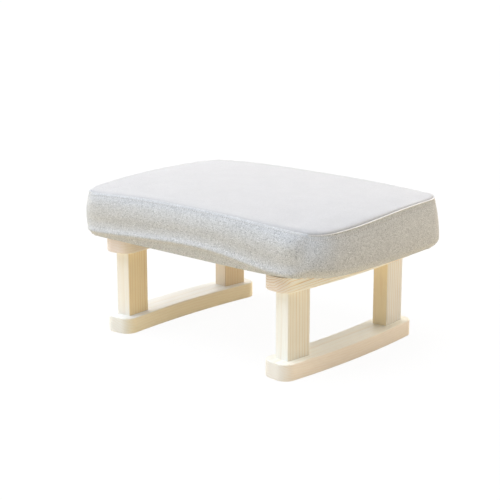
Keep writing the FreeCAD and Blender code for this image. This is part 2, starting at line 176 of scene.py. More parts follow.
def outline(distance):
    """Points and outward normals of the seat's widest outline at distances round it."""
    bow, bow_x, bow_angle, corner, lengths = outline_lengths()
    quarter = sum(lengths)
    which = np.floor(distance / quarter).astype(int) % 4
    along = distance % quarter
    along = np.where(which % 2 == 1, quarter - along, along)
    angle = np.where(
        along < lengths[0],
        along / bow,
        np.minimum(bow_angle + (along - lengths[0]) / CORNER_RADIUS, math.pi / 2),
    )
    on_bow = along < lengths[0]
    straight = np.maximum(along - lengths[0] - lengths[1], 0)
    x = np.where(on_bow, bow_x + bow * np.cos(angle), corner[0] + CORNER_RADIUS * np.cos(angle) - straight)
    y = np.where(on_bow, bow * np.sin(angle), corner[1] + CORNER_RADIUS * np.sin(angle))
    flip_x = np.where((which == 1) | (which == 2), -1, 1)
    flip_y = np.where(which >= 2, -1, 1)
    points = np.stack([flip_x * x, flip_y * y], -1)
    normals = np.stack([flip_x * np.cos(angle), flip_y * np.sin(angle)], -1)
    return points, normals


def perimeter():
    """Distances round the outline, starting at the rear right corner, side by side."""
    lengths = outline_lengths()[4]
    quarter = sum(lengths)
    corner = lengths[0] + lengths[1] / 2
    stops = [corner, 2 * quarter - corner, 2 * quarter + corner, 4 * quarter - corner, 4 * quarter + corner]
    steps = [LONG_STEPS, SHORT_STEPS, LONG_STEPS, SHORT_STEPS]
    sides = [np.linspace(a, b, n, endpoint=False) for a, b, n in zip(stops, stops[1:], steps)]
    return np.concatenate(sides)


def corner_weight(points):
    """1 near a corner of the seat and 0 along its sides."""
    return np.minimum(2 * (points[:, 0] / HALF_LENGTH) ** 4 * (points[:, 1] / HALF_DEPTH) ** 4, 1)


def long_side_weight(points, normals):
    """1 along the long sides, fading to 0 round the corners."""
    facing = np.clip((np.abs(normals[:, 1]) - 0.75) / 0.25, 0, 1)
    return facing * facing * (3 - 2 * facing)


def by_corner(points, item):
    """One item of CORNERS, faded from 1 at each corner to 0 along the sides."""
    amount = np.zeros(len(points))
    for (side_x, side_y), values in CORNERS.items():
        here = (np.sign(points[:, 0]) == side_x) & (np.sign(points[:, 1]) == side_y)
        amount[here] = values[item]
    return amount * corner_weight(points)


def widest_outline(distance):
    """Outline with the small differences between its corners."""
    points, normals = outline(distance)
    return points - normals * by_corner(points, BAND_IN)[:, None], normals


def roll_height(x):
    """Height of the rolled lower edge above the seat's bottom."""
    reach = np.where(x < ROLL_PEAK_X, ROLL_REACH[-1], ROLL_REACH[1])
    turn = np.clip(np.abs(x - ROLL_PEAK_X) / reach, 0, 1)
    return ROLL_LOW + ROLL_RISE * (0.5 + 0.5 * np.cos(math.pi * turn))


# ---- seat surface
def edge_surface(x, y):
    """Height of the surface that the sewn edge lies on."""
    u, v = x / HALF_LENGTH, y / HALF_DEPTH
    along = CROWN_ALONG - CROWN_ALONG_FRONT * v + CROWN_ALONG_EDGES * v**2
    height = EDGE_MIDDLE + EDGE_RISE * v - CROWN_ACROSS * v**2
    height = height - u * (EDGE_FALL + EDGE_FALL_REAR * v) - along * u**2
    dome = 1 - (u / REAR_DOME_REACH) ** 2
    dome = np.where(u > 0, np.maximum(dome, 0), dome)
    height = height + REAR_DOME * dome * np.maximum(v, 0) ** 2
    height = height - LEFT_FALL * (1 + v) / 2 * np.maximum(-u, 0) ** LEFT_FALL_POWER
    for (side_x, side_y), values in CORNERS.items():
        apart = (x - side_x * CORNER_MIDDLE[0]) ** 2 + (y - side_y * CORNER_MIDDLE[1]) ** 2
        height = height + values[TOP_RISE] * np.exp(-apart / (2 * CORNER_SPREAD**2))
    return height


def drawn_down(points):
    """How far the seam is drawn down at the corners and along the right side."""
    u, v = points[:, 0] / HALF_LENGTH, points[:, 1] / HALF_DEPTH
    right = np.clip((u - 0.7) / 0.25, 0, 1)
    sag = RIGHT_SAG * right * np.exp(-(((v - RIGHT_SAG_MIDDLE) / RIGHT_SAG_REACH) ** 2))
    return by_corner(points, SEAM_DOWN) + sag


def seam_inset(points, normals):
    """How far the sewn edge stands in from the widest outline."""
    long_side = long_side_weight(points, normals)
    along = SEAM_INSET_SHORT + (SEAM_INSET_LONG - SEAM_INSET_SHORT) * long_side
    return along + by_corner(points, SEAM_IN)


def shoulder(distance, long_side):
    """Height by which the top panel rises from its seam: a quarter round, or gentler on a long side."""
    near = np.clip(1 - distance / SHOULDER_WIDTH, 0, 1)
    quarter_round = np.sqrt(1 - near**2)
    gentle = 1 - near**2
    return SHOULDER_HEIGHT * (quarter_round + (gentle - quarter_round) * long_side)


def top_ring(points, normals, inside):
    """Ring of the top panel, a distance inside the seam."""
    flat = points - normals * (seam_inset(points, normals) + inside)[:, None]
    x, y = flat[:, 0], flat[:, 1]
    drawn = drawn_down(points) * max(0, 1 - inside / DRAWN_WIDTH) ** 2
    raised = shoulder(inside, long_side_weight(points, normals))
    return np.stack([x, y, edge_surface(x, y) + raised - drawn], -1)


def band_shape(points, normals):
    """What shapes the band at each place, one row per place."""
    long_side = long_side_weight(points, normals)
    inset = seam_inset(points, normals)
    seam = points - normals * inset[:, None]
    widest = WIDEST_SHORT + (roll_height(points[:, 0]) - WIDEST_SHORT) * long_side
    widest = SEAT_BOTTOM + widest + by_corner(points, WIDEST_UP)
    short = np.where(points[:, 0] < 0, BOTTOM_INSET_LEFT, BOTTOM_INSET_RIGHT)
    bottom = short + (BOTTOM_INSET_LONG - short) * long_side + by_corner(points, BOTTOM_IN)
    power = TURN_POWER_SHORT + (TURN_POWER_LONG - TURN_POWER_SHORT) * long_side
    power = power + by_corner(points, TIGHTER_TURN)
    top = edge_surface(seam[:, 0], seam[:, 1]) - drawn_down(points)
    return np.stack([inset, top, widest, bottom, power, long_side], -1)


def band_section(seam, top, widest, bottom, power, long_side):
    """Section of the band at one place, from the seam down and under: (inset, height) pairs."""
    up = np.linspace(1, 0, BAND_SAMPLES)
    leaning = up**BAND_BULGE_POWER
    start = 1 - LONG_SHOULDER / (top - widest)
    rounded = 1 - np.sqrt(1 - np.clip((up - start) / (1 - start), 0, 1) ** 2)
    inset = seam * ((1 - long_side) * leaning + long_side * rounded)
    band = np.stack([inset, widest + (top - widest) * up], -1)
    turn = np.linspace(0, 1, TURN_SAMPLES)[1:]
    lowest = SEAT_BOTTOM + TUCK_LIFT
    under = np.stack([bottom * turn**power, widest + (lowest - widest) * turn], -1)
    tuck = np.array([[max(bottom + TUCK_WIDTH, TUCK_INSET), lowest]])
    return np.concatenate([band, under, tuck])


def band_grid(points, normals, edge_offsets):
    """Rows of the band from the seam to the tuck's edge, and each row's distance from the seam."""
    rows, measures = [], []
    for point, normal, shape in zip(points, normals, band_shape(points, normals)):
        section = band_section(*shape)
        steps = np.linalg.norm(np.diff(section, axis=0), axis=1)
        length = np.concatenate([[0], np.cumsum(steps)])
        turned = length[-2]
        rest = np.linspace(edge_offsets[-1], turned, BAND_STEPS + 1)[1:]
        flat = np.linspace(turned, length[-1], TUCK_STEPS + 1)[1:]
        wanted = np.concatenate([edge_offsets, rest, flat])
        inset = np.interp(wanted, length, section[:, 0])
        z = np.interp(wanted, length, section[:, 1])
        flat_place = point[None] - normal[None] * inset[:, None]
        rows.append(np.concatenate([flat_place, z[:, None]], 1))
        measures.append(wanted)
    return np.array(rows).transpose(1, 0, 2), np.array(measures).T


def patch(ring):
    """Rows of points that fill the inside of a closed ring."""
    a, b = LONG_STEPS, SHORT_STEPS
    rear = ring[: a + 1]
    left = ring[a : a + b + 1]
    front = ring[a + b : 2 * a + b + 1][::-1]
    right = np.concatenate([ring[2 * a + b :], ring[:1]])[::-1]
    u = np.linspace(0, 1, a + 1)[None, :, None]
    v = np.linspace(0, 1, b + 1)[:, None, None]
    ruled_v = (1 - v) * rear[None] + v * front[None]
    ruled_u = (1 - u) * right[:, None] + u * left[:, None]
    corners = (1 - u) * (1 - v) * rear[0] + u * (1 - v) * rear[-1]
    corners = corners + (1 - u) * v * front[0] + u * v * front[-1]
    return ruled_v + ruled_u - corners


def top_patch(ring):
    """Middle of the top panel, set to the crown's height."""
    grid = patch(ring)
    x, y = grid[..., 0], grid[..., 1]
    grid[..., 2] = edge_surface(x, y) + SHOULDER_HEIGHT
    return grid


def grid_normals(rows):
    """Outward unit normals of rows that run round the seat."""
    along = np.roll(rows, -1, axis=1) - np.roll(rows, 1, axis=1)
    down = np.gradient(rows, axis=0)
    normals = np.cross(down, along)
    return normals / np.maximum(np.linalg.norm(normals, axis=2, keepdims=True), 1e-12)


# ---- mesh helpers
def mesh_object(name, points, faces, material=None, smooth=True):
    """New object from plain lists, in the row frame."""
    mesh = bpy.data.meshes.new(name)
    mesh.from_pydata([tuple(p) for p in points], [], faces)
    mesh.validate()
    mesh.update()
    mesh.polygons.foreach_set("use_smooth", [smooth] * len(mesh.polygons))
    if material:
        mesh.materials.append(material)
    piece = bpy.data.objects.new(name, mesh)
    bpy.context.scene.collection.objects.link(piece)
    return piece


def quads(*corners):
    """Faces from four grids of corner indices."""
    return [tuple(face) for face in np.stack(corners, -1).reshape(-1, 4).tolist()]


def band_faces(row_count, column_count):
    """Quads between closed rows, facing outwards when the rows run down."""
    here = np.arange(row_count * column_count).reshape(row_count, column_count)
    ahead = np.roll(here, -1, axis=1)
    return quads(here[:-1], here[1:], ahead[1:], ahead[:-1])


def patch_indices(ring_first, ring_count, inner_first):
    """Index of each patch point: its border is the ring's own points."""
    a, b = LONG_STEPS, SHORT_STEPS
    index = np.full((b + 1, a + 1), -1)
    index[0, :] = ring_first + np.arange(a + 1)
    index[:, a] = ring_first + a + np.arange(b + 1)
    index[b, :] = (ring_first + a + b + np.arange(a + 1))[::-1]
    index[:, 0] = (ring_first + (2 * a + b + np.arange(b + 1)) % ring_count)[::-1]
    index[1:b, 1:a] = inner_first + np.arange((b - 1) * (a - 1)).reshape(b - 1, a - 1)
    return index


def patch_faces(index, up):
    """Quads of a patch, facing up or down."""
    corners = (index[:-1, :-1], index[:-1, 1:], index[1:, 1:], index[1:, :-1])
    return quads(*(corners if up else corners[::-1]))


def capped_mesh(name, rows, top, bottom=None, material=None):
    """Rows round the seat, with a patch inside the first row and, if given, one inside the last."""
    count = rows.shape[1]
    points = rows.reshape(-1, 3)
    faces = band_faces(len(rows), count)
    for cap, ring_first, up in ((top, 0, True), (bottom, len(points) - count, False)):
        if cap is not None:
            faces += patch_faces(patch_indices(ring_first, count, len(points)), up)
            points = np.concatenate([points, cap[1:-1, 1:-1].reshape(-1, 3)])
    return mesh_object(name, points, faces, material)


def set_cloth_map(piece, values):
    """UV map "cloth" in metres of cloth, from one (u, v) per corner."""
    layer = piece.data.uv_layers.new(name="cloth")
    layer.data.foreach_set("uv", np.asarray(values, dtype=float).ravel())


def map_from_above(piece):
    """Cloth map of a panel that was cut flat and lies level."""
    set_cloth_map(piece, [piece.data.vertices[loop.vertex_index].co[:2] for loop in piece.data.loops])


def thicken(piece, thickness):
    """Gives a sheet its real thickness on its inner side."""
    modifier = piece.modifiers.new("thickness", "SOLIDIFY")
    modifier.thickness = thickness
    modifier.offset = -1
    return piece


# ---- cloth simulation
SIM_VOXEL = 6 * MM
SIM_FRAMES = 20
SIM_CAP = 5 * MM
SIM_PIN_REACH = 5 * MM
SIM_PIN_RISE = 2.5 * MM
SIM_ROWS = np.array([0, 4, 8, 12]) * MM  # rows of the band next to the seam
SIM_CLOTH = {
    "quality": 5, "mass": 0.3, "tension_stiffness": 60, "compression_stiffness": 60,
    "shear_stiffness": 30, "bending_stiffness": 2, "use_pressure": True, "uniform_pressure_force": 4,
}


def closed_form(points, normals):
    """Coarse closed cushion, the start of the simulation."""
    rings = [top_ring(points, normals, inside) for inside in RING_INSETS[:COARSE_RINGS]]
    rows = np.concatenate([np.array(rings), band_grid(points, normals, SIM_ROWS)[0]])
    return capped_mesh("cushion_start", rows, top_patch(rows[0]), patch(rows[-1]))


def pin_weights(piece, points, normals):
    """Holds the seam and the underside still while the pad swells."""
    seam = [tuple(p) for p in top_ring(points, normals, 0.0)]
    after = [(k + 1) % len(seam) for k in range(len(seam))]
    tree = BVHTree.FromPolygons(seam, [(k, other, other) for k, other in enumerate(after)])
    group = piece.vertex_groups.new(name="held")
    for vertex in piece.data.vertices:
        from_seam = tree.find_nearest(vertex.co)[3]
        if from_seam < SIM_PIN_REACH or vertex.co.z < SEAT_BOTTOM + SIM_PIN_RISE:
            group.add([vertex.index], 1.0, "REPLACE")
    return group


def evaluated(piece):
    """The object with its modifiers worked out."""
    return piece.evaluated_get(bpy.context.evaluated_depsgraph_get())


def even_form(points, normals):
    """The closed cushion with faces of one size, which the cloth solver needs."""
    piece = closed_form(points, normals)
    remesh = piece.modifiers.new("even", "REMESH")
    remesh.mode = "VOXEL"
    remesh.voxel_size = SIM_VOXEL
    even = bpy.data.objects.new("cushion_even", bpy.data.meshes.new_from_object(evaluated(piece)))
    bpy.context.scene.collection.objects.link(even)
    bpy.data.objects.remove(piece, do_unlink=True)
    return even


def swell(points, normals):
    even = even_form(points, normals)
    start = np.array([v.co[:] for v in even.data.vertices])
    cloth = even.modifiers.new("cloth", "CLOTH")
    for name, value in SIM_CLOTH.items():
        setattr(cloth.settings, name, value)
    cloth.settings.vertex_group_mass = pin_weights(even, points, normals).name
    cloth.settings.effector_weights.gravity = 0
    scene = bpy.context.scene
    for number in range(1, SIM_FRAMES + 1):
        scene.frame_set(number)
    moves = np.array([v.co[:] for v in evaluated(even).data.vertices]) - start
    scene.frame_set(1)
    size = np.linalg.norm(moves, axis=1, keepdims=True)
    moves *= np.minimum(1, SIM_CAP / np.maximum(size, 1e-9))
    faces = [tuple(f.vertices) for f in even.data.polygons]
    bpy.data.objects.remove(even, do_unlink=True)
    return start, faces, moves


def carry(swollen, places):
    """Moves of the swollen pad read off at other places."""
    start, faces, moves = swollen
    tree = BVHTree.FromPolygons([tuple(p) for p in start], faces)
    result = np.zeros_like(places)
    for index, place in enumerate(places):
        hit, _, face, _ = tree.find_nearest(Vector(place))
        corners = faces[face]
        weights = poly_3d_calc([Vector(start[i]) for i in corners], hit)
        result[index] = np.array(weights) @ moves[list(corners)]
    return result


# ---- seat cover pieces
def edge_profile(section, distance):
    """How far the surface stands proud at a distance from the seam."""
    at, proud = np.array(section).T
    return np.interp(distance / MM, at, proud) * MM


def rolled_edge(points, normals, rows):
    """Roll along the lower edge of a long side, with a shallow hollow above it."""
    level = SEAT_BOTTOM + roll_height(points[:, 0])[None]
    above = rows[..., 2] - level
    stand = ROLL_STAND * np.exp(-((above / ROLL_HALF_WIDTH) ** 2))
    hollow = ROLL_HOLLOW * np.exp(-(((above - HOLLOW_RISE) / HOLLOW_HALF_WIDTH) ** 2))
    return (stand - hollow) * long_side_weight(points, normals)[None]


def underside_pleats(points, normals, rows):
    """Small gathers where the band is folded under each corner."""
    angle = np.arctan2(normals[:, 1], normals[:, 0])
    waves = np.sin(angle * PLEAT_WAVES) * corner_weight(points)
    low = np.clip(1 - (rows[..., 2] - SEAT_BOTTOM) / PLEAT_RISE, 0, 1)
    return PLEAT_DEPTH * waves[None] * low


class Cushion:
    """Sampled cover: the top panel's rings and middle, and the band's rows."""

    def __init__(self):
        self.distance = perimeter()
        self.points, self.normals = widest_outline(self.distance)
        swollen = swell(self.points, self.normals)
        offsets = np.array(BAND_EDGE)[:, 0] * MM
        self.band, self.band_measure = band_grid(self.points, self.normals, offsets)
        self.rings = np.array([top_ring(self.points, self.normals, inside) for inside in RING_INSETS])
        self.middle = top_patch(self.rings[0])
        if swollen:
            self.move(swollen)
        self.shape_edges()

    def move(self, swollen):
        """Adds the simulated swelling to every row."""
        for name in ("band", "rings", "middle"):
            rows = getattr(self, name)
            flat = rows.reshape(-1, 3)
            setattr(self, name, (flat + carry(swollen, flat)).reshape(rows.shape))

    def shape_edges(self):
        """Adds the seam, the stitch groove, the rolled edge and the pleats."""
        normals = grid_normals(np.concatenate([self.rings, self.band[1:]]))
        self.ring_normals = normals[: len(self.rings)]
        self.band_normals = normals[len(self.rings) - 1 :]
        share = 1 - EDGE_SHARE_LONG * long_side_weight(self.points, self.normals)
        proud = edge_profile(TOP_EDGE, -RING_INSETS)
        self.rings = self.rings + self.ring_normals * proud[:, None, None] * share[None, :, None]
        extra = edge_profile(BAND_EDGE, self.band_measure) * share[None]
        extra = extra + rolled_edge(self.points, self.normals, self.band)
        self.flat_band = self.band
        self.band = self.band + self.band_normals * extra[..., None]
        self.band[..., 2] += underside_pleats(self.points, self.normals, self.flat_band)

    def place_on_band(self, distance, down, lift):
        """Point, outward normal and direction along the seam, on the band."""
        loop = np.append(self.distance, self.distance[0] + girth())
        column = np.interp(self.distance[0] + distance, loop, np.arange(len(loop)))
        low = int(column) % len(self.points)
        high = (low + 1) % len(self.points)
        part = column - int(column)

        def at(k):
            row = np.interp(down, self.band_measure[:, k], np.arange(len(self.band)))
            near, share = int(row), row - int(row)
            far = min(near + 1, len(self.band) - 1)
            spot = (1 - share) * self.band[near, k] + share * self.band[far, k]
            out = (1 - share) * self.band_normals[near, k] + share * self.band_normals[far, k]
            return spot, out

        (p0, n0), (p1, n1) = at(low), at(high)
        out = (1 - part) * n0 + part * n1
        out /= np.linalg.norm(out)
        return (1 - part) * p0 + part * p1 + out * lift, out, p1 - p0


def cover_top_panel(cushion, material):
    """Top panel of the cover, its edge turned down into the seam."""
    turned = cushion.rings[-1] - cushion.ring_normals[-1] * TOP_TURNED
    rows = np.concatenate([cushion.rings, turned[None]])
    piece = capped_mesh("cover_top", rows, cushion.middle, None, material)
    map_from_above(piece)
    return thicken(piece, FABRIC)


def cover_side_band(cushion, material):
    """Side band of the cover, from the lapped seam down and under the board."""
    turned = cushion.band[0] - cushion.band_normals[0] * BAND_TURNED
    rows = np.concatenate([turned[None], cushion.band])
    measure = np.concatenate([cushion.band_measure[:1] - BAND_TURNED, cushion.band_measure])
    count = rows.shape[1]
    piece = mesh_object("cover_band", rows.reshape(-1, 3), band_faces(len(rows), count), material)
    around = np.append(cushion.distance, cushion.distance[0] + girth())
    values = []
    for polygon in piece.data.polygons:
        columns = [v % count for v in polygon.vertices]
        wraps = max(columns) - min(columns) > 1
        for vertex, column in zip(polygon.vertices, columns):
            place = count if wraps and column == 0 else column
            values.append((around[place], measure[vertex // count, column]))
    set_cloth_map(piece, values)
    return thicken(piece, FABRIC)


def foam_core(cushion, material):
    """Foam inside the cover: crowned top, leaning sides, wrapped round the board's edge."""
    rings = cushion.rings[:-3] - cushion.ring_normals[:-3] * CORE_INSIDE
    band = cushion.flat_band - cushion.band_normals * CORE_INSIDE
    low = SEAT_BOTTOM + CORE_INSIDE
    keep = (band[..., 2].min(axis=1) > low + 1 * MM) & (cushion.band_measure[:, 0] > 3 * MM)
    inset = BOARD_INSET + BOARD_CORNER_INSET * corner_weight(cushion.points)
    edge = cushion.points - cushion.normals * inset[:, None]
    board_edge = [np.concatenate([edge, np.full((len(edge), 1), z)], 1) for z in (low, BOARD_TOP)]
    rows = np.concatenate([rings, band[keep], np.array(board_edge)])
    middle = cushion.middle - np.array([0, 0, CORE_INSIDE])
    return capped_mesh("foam_core", rows, middle, patch(rows[-1]), material)


def stitch_mesh(centre, out, along):
    """One raised stitch: a short thread that dips into the cloth at both ends."""
    along = along / np.linalg.norm(along)
    side = np.cross(out, along)
    vertices = []
    for where, lift, size in STITCH_SECTIONS:
        middle = centre + along * where * STITCH_LENGTH + out * lift * THREAD_RADIUS
        for k in range(THREAD_SIDES):
            angle = 2 * math.pi * k / THREAD_SIDES
            spoke = side * math.cos(angle) + out * math.sin(angle)
            vertices.append(middle + spoke * THREAD_RADIUS * size)
    last = len(vertices) - THREAD_SIDES
    here = np.arange(last).reshape(-1, THREAD_SIDES)
    ahead = np.roll(here, -1, axis=1)
    faces = quads(here, ahead, ahead + THREAD_SIDES, here + THREAD_SIDES)
    return vertices, faces + [tuple(range(THREAD_SIDES))[::-1], tuple(range(last, len(vertices)))]


def top_stitching(cushion, material):
    """Row of stitches round the band, just below the lapped seam."""
    count = round(girth() / STITCH_PITCH)
    vertices, faces = [], []
    for k in range(count):
        centre, out, along = cushion.place_on_band((k + 0.5) * girth() / count, STITCH_LINE, STITCH_LIFT)
        new, shapes = stitch_mesh(centre, out, along)
        faces += [tuple(len(vertices) + i for i in shape) for shape in shapes]
        vertices += new
    return mesh_object("top_stitching", vertices, faces, material)


def dust_sheet(material):
    """Thin cloth under the board, hanging a little between the rails."""
    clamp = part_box("right_top_rail")[0][0] - 4 * MM
    across, along = (np.linspace(-1, 1, steps + 1) for steps in DUST_STEPS)
    u, v = np.meshgrid(across, along)
    x = u * DUST_HIGH[0] * (1 - DUST_ROUNDING * v**6)
    y = v * DUST_HIGH[1] * (1 - DUST_ROUNDING * u**10)
    open_x = np.maximum(0, 1 - (x / clamp) ** 4)
    open_y = np.maximum(0, 1 - (abs(y) / (DUST_HIGH[1] - 10 * MM)) ** 3)
    ripple = 0.25 * np.sin(x * 71 + 2.1 * np.sin(y * 37)) + 0.2 * np.sin(y * 93 + x * 24)
    z = DUST_LOW[2] + 0.1 * MM - (DUST_SAG + ripple * MM) * open_x * open_y
    grid = np.arange(z.size).reshape(z.shape)
    faces = quads(grid[:-1, :-1], grid[1:, :-1], grid[1:, 1:], grid[:-1, 1:])
    piece = mesh_object("dust_cloth", np.stack([x, y, z], -1).reshape(-1, 3), faces, material)
    map_from_above(piece)
    return thicken(piece, DUST_CLOTH)


# ---- material helpers
class Graph:
    """Small helper round a material's nodes."""

    def __init__(self, material):
        """Takes the name of a new material, or a material to go on with."""
        if isinstance(material, str):
            material = bpy.data.materials.new(material)
            material.use_nodes = True
        self.material = material
        self.tree = material.node_tree
        self.shader = self.tree.nodes["Principled BSDF"]

    def feed(self, socket, value):
        """Links an output, or sets a constant."""
        if isinstance(value, bpy.types.NodeSocket):
            self.tree.links.new(value, socket)
        else:
            lacks_alpha = socket.type == "RGBA" and len(value) == 3
            socket.default_value = (*value, 1) if lacks_alpha else value

    def add(self, kind, inputs, **settings):
        """Outputs of a new node, whose inputs are given by name or number."""
        node = self.tree.nodes.new(kind)
        for key, value in settings.items():
            setattr(node, key, value)
        for key, value in inputs.items():
            self.feed(node.inputs[key], value)
        return node.outputs

    def maths(self, operation, a, b=0.0):
        return self.add("ShaderNodeMath", {0: a, 1: b}, operation=operation)[0]

    def place(self, source, scale=(1, 1, 1), shift=(0, 0, 0)):
        return self.add("ShaderNodeMapping", {"Vector": source, "Scale": scale, "Location": shift})[0]

    def split(self, vector):
        return self.add("ShaderNodeSeparateXYZ", {0: vector})

    def object_space(self):
        return self.add("ShaderNodeTexCoord", {})["Object"]

    def cloth_space(self):
        return self.add("ShaderNodeUVMap", {}, uv_map="cloth")["UV"]

    def noise(self, vector, scale, detail=3.0, roughness=0.5):
        inputs = {"Vector": vector, "Scale": scale, "Detail": detail, "Roughness": roughness}
        return self.add("ShaderNodeTexNoise", inputs)["Fac"]

    def ramp(self, factor, stops):
        colour = self.add("ShaderNodeValToRGB", {0: factor})["Color"]
        elements = colour.node.color_ramp.elements
        while len(elements) > 1:
            elements.remove(elements[-1])
        for index, (position, tone) in enumerate(stops):
            element = elements[0] if index == 0 else elements.new(position)
            element.position = position
            element.color = (*tone, 1)
        return colour

    def mix(self, factor, a, b, blend="MIX"):
        inputs = {"Factor": factor, 6: a, 7: b}
        return self.add("ShaderNodeMix", inputs, data_type="RGBA", blend_type=blend)[2]

    def range(self, value, low, high, to_low=0.0, to_high=1.0):
        inputs = {"Value": value, "From Min": low, "From Max": high, "To Min": to_low, "To Max": to_high}
        return self.add("ShaderNodeMapRange", inputs)[0]

    def bump(self, height, distance, strength=1.0, below=None):
        inputs = {"Height": height, "Distance": distance, "Strength": strength}
        if below:
            inputs["Normal"] = below
        return self.add("ShaderNodeBump", inputs)[0]

    def finish(self, colour, roughness, normal=None, **others):
        inputs = {"Base Color": colour, "Roughness": roughness}
        if normal:
            inputs["Normal"] = normal
        inputs |= {key.replace("_", " "): value for key, value in others.items()}
        for key, value in inputs.items():
            self.feed(self.shader.inputs[key], value)
        return self.material


# ---- materials
YARN = 0.8 * MM
CELL = (1.1 * YARN, 0.95 * YARN)  # size of one speckle, along and across
HOLE = (0.45 * MM, 0.85 * MM)  # radii between which a needle hole fades out
HOLE_COLOUR = (0.08, 0.075, 0.07)
LIP_HIGHLIGHT_REACH = (1.0 * MM, 1.5 * MM)  # the painted highlight along the seam's lip fades out between these distances from the seam
# colour of the painted highlight on the seam's lip
LIP_HIGHLIGHT_COLOUR = (0.88, 0.88, 0.88)


def linen(name, light, mid, dark, pale, seed):
    """Heathered linen weave: plain weave of uneven yarns, speckled pale and dark."""
    g = Graph(name)
    cloth = g.cloth_space()
    yarns = g.split(g.place(cloth, (1 / YARN, 1 / YARN, 1), (seed, seed * 1.7, 0)))
    weave = g.maths("ADD", g.maths("PINGPONG", yarns[0], 0.5), g.maths("PINGPONG", yarns[1], 0.5))
    scattered = g.place(cloth, (1 / CELL[0], 1 / CELL[1], 1), (seed * 3.1, seed, 0))
    cells = g.add("ShaderNodeVectorMath", {0: scattered}, operation="FLOOR")[0]
    speckle = g.add("ShaderNodeTexWhiteNoise", {"Vector": cells}, noise_dimensions="3D")["Value"]
    slub_a = g.noise(g.place(cloth, (60, 620, 1), (seed, 0, 0)), 1.0, 2.0, 0.6)
    slub_b = g.noise(g.place(cloth, (620, 60, 1), (0, seed, 0)), 1.0, 2.0, 0.6)
    slubs = g.maths("ADD", slub_a, slub_b)
    stops = [(0.0, dark), (0.12, dark), (0.30, mid), (0.66, light), (0.88, light), (1.0, pale)]
    tinted = g.mix(g.range(slubs, 0.8, 1.25, 0.0, 0.55), g.ramp(speckle, stops), light)
    shade = g.range(g.noise(cloth, 38.0, 2.0), 0.3, 0.7, 0.975, 1.015)
    colour = g.mix(1.0, tinted, shade, "MULTIPLY")
    fine = g.bump(weave, 0.35 * MM, 0.55)
    fuzzy = g.bump(speckle, 0.25 * MM, 0.5, fine)
    uneven = g.bump(slubs, 0.5 * MM, 0.5, fuzzy)
    rough = g.range(speckle, 0, 1, 0.82, 0.97)
    return g.finish(colour, rough, uneven, Sheen_Weight=0.25, Sheen_Roughness=0.55, Specular_IOR_Level=0.25)


def lip_highlight_and_needle_holes(material):
    """Painted highlight along the lip at the seam, full on the short sides and faint on the long ones, and
    faint needle holes between the stitches of the band.
    """
    g = Graph(material)
    around, down = g.split(g.cloth_space())[:2]
    pitch = girth() / round(girth() / STITCH_PITCH)
    along = g.maths("PINGPONG", g.maths("SUBTRACT", around, perimeter()[0]), pitch / 2)
    from_line = g.maths("ABSOLUTE", g.maths("SUBTRACT", down, STITCH_LINE))
    both = g.maths("SQRT", g.maths("ADD", g.maths("POWER", along, 2.0), g.maths("POWER", from_line, 2.0)))
    depth = g.maths("ABSOLUTE", g.split(g.object_space())[1])
    short_side = g.range(depth, HALF_DEPTH - 34 * MM, HALF_DEPTH - 14 * MM, 1.0, 0.15)
    # painted highlight: the lip at the seam is painted paler, fully on the short sides and faintly along the
    # long ones
    lip_highlight = g.maths("MULTIPLY", short_side, g.range(down, *LIP_HIGHLIGHT_REACH, 0.9, 0.0))
    plain = g.shader.inputs["Base Color"].links[0].from_socket
    colour = g.mix(g.range(both, *HOLE, 0.4, 0.0), g.mix(lip_highlight, plain, LIP_HIGHLIGHT_COLOUR), HOLE_COLOUR)
    g.feed(g.shader.inputs["Base Color"], colour)


PINE = (0.88, 0.83, 0.73)
PINE_DARKENING = Vector((0.85, 0.74, 0.55))
PINE_LATE = Vector((0.66, 0.44, 0.23))


def paint_facing_light(g, normal, colour, light_tints):
    """Painted light and shade: the right side, front end and, if given, top of a sawn piece are painted a
    little lighter or darker, as the light falls on each.
    """
    for axis, sign, tint in zip(normal, (1, -1, 1), light_tints):
        toward = g.maths("MAXIMUM", g.maths("MULTIPLY", axis, sign), 0.0)
        colour = g.mix(g.maths("MULTIPLY", toward, toward), colour, g.mix(1.0, colour, tint, "MULTIPLY"))
    return colour


def drawn_out(grain, across, along):
    """Scale of a pattern that is longer along the grain."""
    return tuple(along if axis == grain else across for axis in "XYZ")


def wander(g, places, by, scale, reach):
    """Places moved about by a soft noise read at other places."""
    noise = g.add("ShaderNodeTexNoise", {"Vector": by, "Scale": scale})["Color"]
    inputs = {0: noise, 1: (reach, reach, reach), 2: places}
    return g.add("ShaderNodeVectorMath", inputs, operation="MULTIPLY_ADD")[0]


def growth_rings(g, places, grain, spacing):
    """0 to 1 across each ring round the line where the other two axes are 0."""
    inputs = {"Vector": places, "Scale": 2 * math.pi / (20 * spacing)}
    inputs |= {"Distortion": 0.6, "Detail": 1.0, "Detail Scale": 0.4}
    settings = {"wave_type": "RINGS", "rings_direction": grain, "wave_profile": "SAW"}
    return g.add("ShaderNodeTexWave", inputs, **settings)["Fac"]


